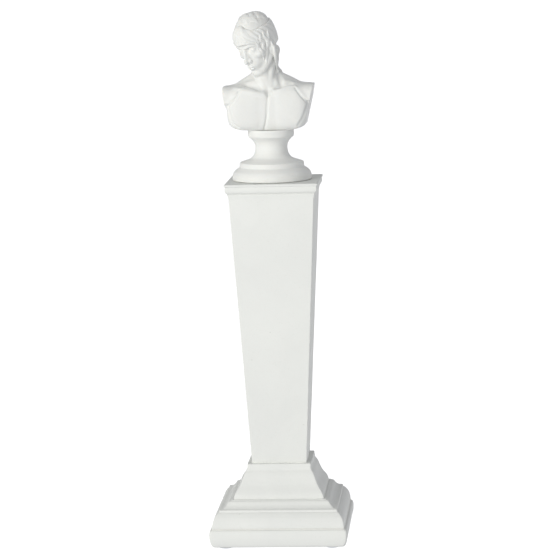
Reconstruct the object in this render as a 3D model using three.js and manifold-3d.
// A white stone portrait bust on a tall pedestal that widens towards its top.
//
// The pedestal is a stack of square courses: a plinth on four bumper feet, a bed of mortar, a moulded base,
// a hollow-curved neck, a tapering shaft and a moulded cap. A steel rod runs up through all of them but the
// cap, and a nut and washer at each end clamp the stack. Two dowels locate the cap on the shaft.
// The bust stands on a turned socle. A second rod holds the two together, and its lower end drops into a
// hole in the cap, so the bust turns on the pedestal, on a loose felt disc, and lifts off it.
//
// Millimetres, +Z up, origin on the floor under the middle of the plinth. The bust's chest faces -Y.

import * as THREE from "three";
import { mergeVertices } from "three/addons/utils/BufferGeometryUtils.js";
import Module from "manifold-3d";

const wasm = await Module();
wasm.setup();

// ---- Driving dimensions ----

const JOINT_GAP = 0.3; // clear gap between pieces that rest on each other
const ROUND_SEGMENTS = 24; // facets round a rod, bore, nut bore or foot
const SOCLE_SEGMENTS = 48;

const FOOT_HEIGHT = 1.9;
const FOOT_RADIUS = 7;
const FOOT_FLAT_RADIUS = 4.5;
const FOOT_INSET = 59; // from the middle of the plinth, along X and Y

const PLINTH_HEIGHT = 20.1;
const PLINTH_HALF = 76.4;
const BED_HEIGHT = 1.5;
const BED_HALF = 73.3;
const MOULDING_HEIGHT = 27.4;
const NECK_HEIGHT = 36.4;
const SHAFT_HEIGHT = 302.6;
const SHAFT_FOOT_HALF = 30.3;
const SHAFT_HEAD_HALF = 48.5;
const CAP_HEIGHT = 10.5;
const CAP_HALF = 51.4;

const FELT_THICKNESS = 1;
const FELT_RADIUS = 39;
const SOCLE_HEIGHT = 54.4;
const SOCLE_FOOT_RADIUS = 43.7;
const SOCLE_WAIST_RADIUS = 17.8;
const SOCLE_COLLAR_RADIUS = 25.5;
const BUST_AXIS = -1.8; // X of the axis that the socle and bust turn about, left of the pedestal's own

const ROD_RADIUS = 4;
const BORE_RADIUS = 4.5;
const NUT_ACROSS_FLATS = 13;
const NUT_HEIGHT = 6.5;
const WASHER_RADIUS = 10;
const WASHER_HEIGHT = 1.6;
const RECESS_RADIUS = 11.5;
const RECESS_DEPTH = 11;
const ROD_PAST_NUT = 1.2; // length of rod that shows past a nut
const LOCATING_HOLE_DEPTH = 6.5;
const BUST_BORE_DEPTH = 28;

const DOWEL_RADIUS = 2;
const DOWEL_BORE_RADIUS = 2.3;
const DOWEL_LENGTH = 10;
const DOWEL_OFFSET = 30;
const DOWEL_DEPTH_IN_CAP = 5;

// ---- Where each course starts, from the floor up ----

const plinthBase = FOOT_HEIGHT + JOINT_GAP;
const bedBase = plinthBase + PLINTH_HEIGHT + JOINT_GAP;
const mouldingBase = bedBase + BED_HEIGHT + JOINT_GAP;
const neckBase = mouldingBase + MOULDING_HEIGHT + JOINT_GAP;
const shaftBase = neckBase + NECK_HEIGHT + JOINT_GAP;
const capBase = shaftBase + SHAFT_HEIGHT + JOINT_GAP;
const capTop = capBase + CAP_HEIGHT;
const feltBase = capTop + JOINT_GAP;
const socleBase = feltBase + FELT_THICKNESS + JOINT_GAP;
const bustBase = socleBase + SOCLE_HEIGHT + JOINT_GAP;

// ---- Materials ----

const pedestalStone = new THREE.MeshStandardMaterial({ color: 0xe6e7e2, roughness: 0.8, metalness: 0 });
const bustStone = new THREE.MeshStandardMaterial({ color: 0xe9eae5, roughness: 0.75, metalness: 0 });
const mortar = new THREE.MeshStandardMaterial({ color: 0xe4e3db, roughness: 0.95, metalness: 0 });
const steel = new THREE.MeshStandardMaterial({ color: 0xb4b6b8, roughness: 0.35, metalness: 1 });
const brass = new THREE.MeshStandardMaterial({ color: 0xc9a65a, roughness: 0.4, metalness: 1 });
const felt = new THREE.MeshStandardMaterial({ color: 0xd8d8d2, roughness: 1, metalness: 0 });
const footRubber = new THREE.MeshStandardMaterial({ color: 0xd0d3d4, roughness: 0.5, metalness: 0 });

// ---- Solids: closed geometries, joined and cut ----

// A closed geometry as a solid, with the vertices that its faces share merged.
function solidOf(geometry) {
  const bare = geometry.clone();
  bare.deleteAttribute("normal");
  bare.deleteAttribute("uv");
  const merged = mergeVertices(bare, 1e-4);
  const vertProperties = new Float32Array(merged.attributes.position.array);
  const triVerts = new Uint32Array(merged.index.array);
  return new wasm.Manifold(new wasm.Mesh({ numProp: 3, vertProperties, triVerts }));
}

// A solid as a flat-shaded geometry.
function geometryOf(solid) {
  const { vertProperties, triVerts } = solid.getMesh();
  const indexed = new THREE.BufferGeometry();
  indexed.setAttribute("position", new THREE.BufferAttribute(vertProperties, 3));
  indexed.setIndex(new THREE.BufferAttribute(triVerts, 1));
  const flat = indexed.toNonIndexed();
  flat.computeVertexNormals();
  return flat;
}

const joined = (solids) => solids.reduce((whole, next) => whole.add(next));
const cut = (solid, tools) => tools.reduce((whole, tool) => whole.subtract(tool), solid);

// A profile of [distance from the axis, height] points, from the bottom up, turned about Z.
function turned(profile, segments) {
  const points = profile.map(([radius, height]) => new THREE.Vector2(radius, height));
  const foot = new THREE.Vector2(0, points[0].y);
  const head = new THREE.Vector2(0, points[points.length - 1].y);
  return new THREE.LatheGeometry([foot, ...points, head], segments).rotateX(Math.PI / 2);
}

// The same profile run round a square plan and mitred at the corners, so distances are half widths.
function squared(profile) {
  const corners = profile.map(([half, height]) => [half * Math.SQRT2, height]);
  return turned(corners, 4).rotateZ(Math.PI / 4);
}

// A cylinder about Z from one height to another.
function upright(radius, from, to, segments = ROUND_SEGMENTS) {
  const geometry = new THREE.CylinderGeometry(radius, radius, to - from, segments);
  return geometry.rotateX(Math.PI / 2).translate(0, 0, (from + to) / 2);
}

// ---- Curves of a profile ----

// Part of an ellipse about a centre, from one angle to another in degrees, 0 being straight outwards.
function arc(centre, radii, fromDegrees, toDegrees, steps) {
  const curve = new THREE.EllipseCurve(
    centre[0], centre[1], radii[0], radii[1],
    THREE.MathUtils.degToRad(fromDegrees), THREE.MathUtils.degToRad(toDegrees),
    toDegrees < fromDegrees, 0,
  );
  return curve.getPoints(steps).map((point) => point.toArray());
}

// A hollow between two points, drawn towards a third.
function hollow(from, towards, to, steps) {
  const [start, control, end] = [from, towards, to].map((p) => new THREE.Vector2(...p));
  return new THREE.QuadraticBezierCurve(start, control, end).getPoints(steps).map((point) => point.toArray());
}

// ---- The pedestal's courses, each with its own bottom at height 0 ----

function plinth() {
  const lowerCorner = arc([PLINTH_HALF - 4.4, 10.5], [4.4, 10.5], -90, 0, 5);
  const upperCorner = arc([PLINTH_HALF - 1.2, PLINTH_HEIGHT - 4], [1.2, 4], 0, 90, 3);
  const body = solidOf(squared([...lowerCorner, ...upperCorner]));
  const nutRecess = solidOf(upright(RECESS_RADIUS, -1, RECESS_DEPTH));
  const bore = solidOf(upright(BORE_RADIUS, RECESS_DEPTH - 1, PLINTH_HEIGHT + 1));
  return geometryOf(cut(body, [nutRecess, bore]));
}

function mortarBed() {
  const body = solidOf(squared([[BED_HALF, 0], [BED_HALF, BED_HEIGHT]]));
  return geometryOf(cut(body, [solidOf(upright(BORE_RADIUS, -1, BED_HEIGHT + 1))]));
}

// From the bottom: ovolo, fillet, cavetto and a thin upper fillet.
function baseMoulding() {
  const ovolo = arc([65, 1.4], [8.3, 14.4], 0, 90, 8);
  const fillet = [[65.6, 16], [65.4, 18.2]];
  const cavetto = hollow([64.3, 18.6], [57.6, 20.6], [54.5, 26.3], 6);
  const upperFillet = [[53.6, 26.5], [52.4, MOULDING_HEIGHT]];
  const body = solidOf(squared([[73.3, 0], ...ovolo, ...fillet, ...cavetto, ...upperFillet]));
  return geometryOf(cut(body, [solidOf(upright(BORE_RADIUS, -1, MOULDING_HEIGHT + 1))]));
}

// A long hollow curve under a plain band.
function baseNeck() {
  const curve = hollow([50.1, 1.1], [43.3, 9.5], [38, 27.6], 8);
  const band = [[36.2, 28.7], [35.5, 30], [35.4, NECK_HEIGHT - 1], [34.6, NECK_HEIGHT]];
  const body = solidOf(squared([[50.1, 0], ...curve, ...band]));
  return geometryOf(cut(body, [solidOf(upright(BORE_RADIUS, -1, NECK_HEIGHT + 1))]));
}

function dowelHoles(from, to) {
  return [-1, 1].map((side) => solidOf(upright(DOWEL_BORE_RADIUS, from, to).translate(side * DOWEL_OFFSET, 0, 0)));
}

// The shaft widens all the way up and flares out a little more under the cap.
function shaft() {
  const flareHeight = 7;
  const flare = hollow(
    [SHAFT_HEAD_HALF - 1.5, SHAFT_HEIGHT - flareHeight],
    [SHAFT_HEAD_HALF - 1.2, SHAFT_HEIGHT - 2],
    [SHAFT_HEAD_HALF, SHAFT_HEIGHT],
    4,
  );
  const body = solidOf(squared([[SHAFT_FOOT_HALF, 0], ...flare]));
  const bore = solidOf(upright(BORE_RADIUS, -1, SHAFT_HEIGHT));
  const nutRecess = solidOf(upright(RECESS_RADIUS, SHAFT_HEIGHT - RECESS_DEPTH, SHAFT_HEIGHT + 1));
  const dowelDepth = DOWEL_LENGTH - DOWEL_DEPTH_IN_CAP + 1;
  return geometryOf(cut(body, [bore, nutRecess, ...dowelHoles(SHAFT_HEIGHT - dowelDepth, SHAFT_HEIGHT + 1)]));
}

function cap() {
  const bedMould = arc([48.6, 1.6], [1.9, 1.6], -90, 0, 3);
  const band = arc([50.1, 3.9], [0.6, 2.3], -80, 80, 4);
  const topFillet = [[CAP_HALF - 0.2, 7.4], [CAP_HALF, 9.8], [CAP_HALF - 0.4, CAP_HEIGHT]];
  const body = solidOf(squared([...bedMould, ...band, [50.2, 6.8], ...topFillet]));
  const bore = upright(BORE_RADIUS, CAP_HEIGHT - LOCATING_HOLE_DEPTH, CAP_HEIGHT + 1);
  const locatingHole = solidOf(bore.translate(BUST_AXIS, 0, 0));
  return geometryOf(cut(body, [locatingHole, ...dowelHoles(-1, DOWEL_DEPTH_IN_CAP)]));
}

function foot() {
  const dome = hollow([FOOT_FLAT_RADIUS, 0], [FOOT_RADIUS - 0.4, 0.2], [FOOT_RADIUS, FOOT_HEIGHT], 3);
  return turned(dome, ROUND_SEGMENTS);
}

// ---- Fasteners ----

function nut() {
  const acrossCorners = NUT_ACROSS_FLATS / Math.cos(Math.PI / 6);
  const hexagon = solidOf(upright(acrossCorners / 2, 0, NUT_HEIGHT, 6));
  return geometryOf(cut(hexagon, [solidOf(upright(ROD_RADIUS + JOINT_GAP, -1, NUT_HEIGHT + 1))]));
}

function ring(radius, holeRadius, height, segments = ROUND_SEGMENTS) {
  const disc = solidOf(upright(radius, 0, height, segments));
  return geometryOf(cut(disc, [solidOf(upright(holeRadius, -1, height + 1))]));
}

// ---- The turned socle: ovolo foot, fillet, deep hollow waist and collar ----

function socle() {
  const footEdge = hollow([SOCLE_FOOT_RADIUS - 1.2, 0], [SOCLE_FOOT_RADIUS, 0.6], [SOCLE_FOOT_RADIUS, 3.2], 2);
  const ovolo = arc([SOCLE_FOOT_RADIUS - 8.6, 4.6], [8.6, 8.8], 0, 82, 6);
  const fillet = [[35.9, 13.6], [35.6, 17.2], [34.8, 18.4]];
  const lowerHollow = arc([34.5, 33.7], [34.5 - SOCLE_WAIST_RADIUS, 14.9], 268, 180, 9);
  const upperHollow = hollow([SOCLE_WAIST_RADIUS, 34.5], [SOCLE_WAIST_RADIUS - 0.3, 40.6], [24.8, 46.3], 6);
  const collar = [[SOCLE_COLLAR_RADIUS, 47.6], [SOCLE_COLLAR_RADIUS, 53.4], [24.6, SOCLE_HEIGHT]];
  const profile = [...footEdge, ...ovolo, ...fillet, ...lowerHollow, ...upperHollow, ...collar];
  const body = solidOf(turned(profile, SOCLE_SEGMENTS));
  const nutRecess = solidOf(upright(RECESS_RADIUS, -1, RECESS_DEPTH));
  const bore = solidOf(upright(BORE_RADIUS, RECESS_DEPTH - 1, SOCLE_HEIGHT + 1));
  return geometryOf(cut(body, [nutRecess, bore]));
}

// ---- The bust, with its underside at height 0 ----

const HEAD_PLACE = [-14, -8, 98]; // midway between the ears, at the height of the eyes
const HEAD_PITCH = 25; // degrees, bowed forward
const HEAD_YAW = -38; // turned to its right
const HEAD_ROLL = -8; // leaning to its right shoulder

// An ellipsoid. Segments are kept low: the bust's fine surface is not the CAD's job.
function egg(centre, radii, segments = 20) {
  const ball = new THREE.SphereGeometry(1, segments, Math.round(segments * 0.6));
  return ball.rotateX(Math.PI / 2).scale(...radii).translate(...centre);
}

// A round limb, thicker or thinner at its far end.
function limb(from, to, fromRadius, toRadius, segments = 16) {
  const start = new THREE.Vector3(...from);
  const along = new THREE.Vector3(...to).sub(start);
  const length = along.length();
  const up = new THREE.Vector3(0, 1, 0);
  const turn = new THREE.Quaternion().setFromUnitVectors(up, along.normalize());
  const cone = new THREE.CylinderGeometry(toRadius, fromRadius, length, segments);
  return cone.translate(0, length / 2, 0).applyQuaternion(turn).translate(...from);
}

// The front view of the truncated chest: the two arm cuts, the sloping shoulders and the trimmed lower edge.
function chestOutline() {
  const shape = new THREE.Shape();
  shape.moveTo(-26, 0);
  shape.quadraticCurveTo(-36, 0.6, -44.5, 3.6);
  shape.quadraticCurveTo(-48.4, 6, -49.4, 16);
  shape.lineTo(-52.4, 43.5);
  shape.quadraticCurveTo(-52.4, 47.4, -48, 48.2);
  shape.quadraticCurveTo(-36, 49.8, -16, 64);
  shape.lineTo(8, 66);
  shape.quadraticCurveTo(22, 55, 34, 50.6);
  shape.quadraticCurveTo(46.6, 51.4, 47, 44);
  shape.lineTo(41, 17);
  shape.quadraticCurveTo(38, 3, 22, 0);
  return new THREE.ExtrudeGeometry(shape, { depth: 80, bevelEnabled: false, curveSegments: 5 })
    .rotateX(Math.PI / 2)
    .translate(0, 40, 0);
}

function torso() {
  const masses = joined(
    [
      egg([-3, 1, 20], [56, 25, 38], 32), // rib cage
      egg([-26, -9, 26], [26, 20, 24], 24), // right side of the chest
      egg([20, -9, 26], [26, 20, 24], 24), // left side of the chest
      egg([-43, 1, 32], [17, 19, 19], 20), // right shoulder
      egg([36, 2, 33], [18, 19, 19], 20), // left shoulder
      egg([-4, 9, 43], [42, 14, 17], 24), // upper back
      limb([-11, 7, 66], [-46, 3, 41], 8, 8, 16), // slope from neck to right shoulder
      limb([5, 8, 66], [40, 4, 42], 9, 8, 16), // slope from neck to left shoulder
    ].map(solidOf),
  );
  return masses.intersect(solidOf(chestOutline()));
}

// The head's own axes: +X to its left, -Y out of its face, +Z to its crown.
function placeHead(geometry) {
  return geometry
    .rotateX(THREE.MathUtils.degToRad(HEAD_PITCH))
    .rotateZ(THREE.MathUtils.degToRad(HEAD_YAW))
    .rotateY(THREE.MathUtils.degToRad(HEAD_ROLL))
    .translate(...HEAD_PLACE);
}

function head() {
  return joined(
    [
      egg([0, 1.6, 10.8], [20, 25, 21.4], 28), // hair over the skull
      egg([0, -0.5, 12], [23.6, 27.5, 9.5], 28), // roll of hair round the head
      egg([0, 8, -2], [19, 17.5, 19], 20), // hair at the back
      egg([0, -7, -9], [16.2, 17.5, 20.5], 24), // face
      egg([0, -12, -21.5], [12, 12.5, 9.5], 20), // jaw
      egg([0, -22, -26.5], [5.5, 4.6, 4.2], 12), // chin
      limb([0, -23, 1], [0, -28.4, -9], 1.8, 2.8, 8), // nose
    ].map((geometry) => solidOf(placeHead(geometry))),
  );
}

// Locks of hair that hang from behind the left ear onto the side of the neck.
function neckLocks() {
  return joined(
    [
      limb([3, 2, 88], [7, 4, 60], 6, 2.4, 12),
      limb([1, 10, 92], [4, 10, 60], 8, 4, 12),
      limb([-10, 12, 92], [-8, 12, 60], 9, 5, 12),
    ].map(solidOf),
  );
}

function bust() {
  const neck = solidOf(limb([0, 4, 36], [-9, 2, 88], 18.5, 14.5, 24));
  const body = joined([torso(), neck, head(), neckLocks()]);
  const rodBore = upright(BORE_RADIUS, -1, BUST_BORE_DEPTH).translate(BUST_AXIS, 0, 0);
  return geometryOf(body.subtract(solidOf(rodBore)));
}

// ---- Assembly ----

function piece(name, geometry, material, height, x = 0, y = 0) {
  const mesh = new THREE.Mesh(geometry, material);
  mesh.name = name;
  mesh.position.set(x, y, height);
  return mesh;
}

function feet() {
  const sides = [
    ["foot_front_left", -1, -1],
    ["foot_front_right", 1, -1],
    ["foot_back_left", -1, 1],
    ["foot_back_right", 1, 1],
  ];
  return sides.map(([name, x, y]) => piece(name, foot(), footRubber, 0, x * FOOT_INSET, y * FOOT_INSET));
}

// The rod that clamps the stack, from the recess under the plinth to the one in the shaft's head.
function tieRodParts() {
  const lowerCeiling = plinthBase + RECESS_DEPTH - JOINT_GAP;
  const lowerWasher = lowerCeiling - WASHER_HEIGHT;
  const lowerNut = lowerWasher - JOINT_GAP - NUT_HEIGHT;
  const upperWasher = shaftBase + SHAFT_HEIGHT - RECESS_DEPTH + JOINT_GAP;
  const upperNut = upperWasher + WASHER_HEIGHT + JOINT_GAP;
  const rodFrom = lowerNut - ROD_PAST_NUT;
  const rodTo = upperNut + NUT_HEIGHT + ROD_PAST_NUT;
  const washerHole = ROD_RADIUS + JOINT_GAP;
  return [
    piece("tie_rod", upright(ROD_RADIUS, 0, rodTo - rodFrom), steel, rodFrom),
    piece("tie_washer_lower", ring(WASHER_RADIUS, washerHole, WASHER_HEIGHT), steel, lowerWasher),
    piece("tie_nut_lower", nut(), steel, lowerNut),
    piece("tie_washer_upper", ring(WASHER_RADIUS, washerHole, WASHER_HEIGHT), steel, upperWasher),
    piece("tie_nut_upper", nut(), steel, upperNut),
  ];
}

function dowels() {
  const from = capBase + DOWEL_DEPTH_IN_CAP - JOINT_GAP - DOWEL_LENGTH;
  const pin = () => upright(DOWEL_RADIUS, 0, DOWEL_LENGTH, 16);
  return [
    piece("cap_dowel_left", pin(), brass, from, -DOWEL_OFFSET),
    piece("cap_dowel_right", pin(), brass, from, DOWEL_OFFSET),
  ];
}

// The bust's rod, from the hole in the cap up into the chest, with its nut and washer under the socle.
function bustRodParts() {
  const washerBase = socleBase + RECESS_DEPTH - JOINT_GAP - WASHER_HEIGHT;
  const nutBase = washerBase - JOINT_GAP - NUT_HEIGHT;
  const rodFrom = capTop - LOCATING_HOLE_DEPTH + JOINT_GAP;
  const rodTo = bustBase + BUST_BORE_DEPTH - JOINT_GAP;
  return [
    piece("bust_rod", upright(ROD_RADIUS, 0, rodTo - rodFrom), steel, rodFrom, BUST_AXIS),
    piece("socle_washer", ring(WASHER_RADIUS, ROD_RADIUS + JOINT_GAP, WASHER_HEIGHT), steel, washerBase, BUST_AXIS),
    piece("socle_nut", nut(), steel, nutBase, BUST_AXIS),
  ];
}

const pedestalGroup = new THREE.Group();
pedestalGroup.add(
  ...feet(),
  piece("plinth", plinth(), pedestalStone, plinthBase),
  piece("plinth_bed", mortarBed(), mortar, bedBase),
  piece("base_moulding", baseMoulding(), pedestalStone, mouldingBase),
  piece("base_neck", baseNeck(), pedestalStone, neckBase),
  piece("shaft", shaft(), pedestalStone, shaftBase),
  piece("cap", cap(), pedestalStone, capBase),
  ...tieRodParts(),
  ...dowels(),
);

const bustGroup = new THREE.Group();
bustGroup.add(
  piece("socle", socle(), bustStone, socleBase, BUST_AXIS),
  piece("bust", bust(), bustStone, bustBase),
  ...bustRodParts(),
);

const feltRing = ring(FELT_RADIUS, BORE_RADIUS + 1.5, FELT_THICKNESS, SOCLE_SEGMENTS);
const feltDisc = piece("felt_disc", feltRing, felt, feltBase, BUST_AXIS);

const statuette = new THREE.Group();
statuette.add(pedestalGroup, feltDisc, bustGroup);

export default statuette;
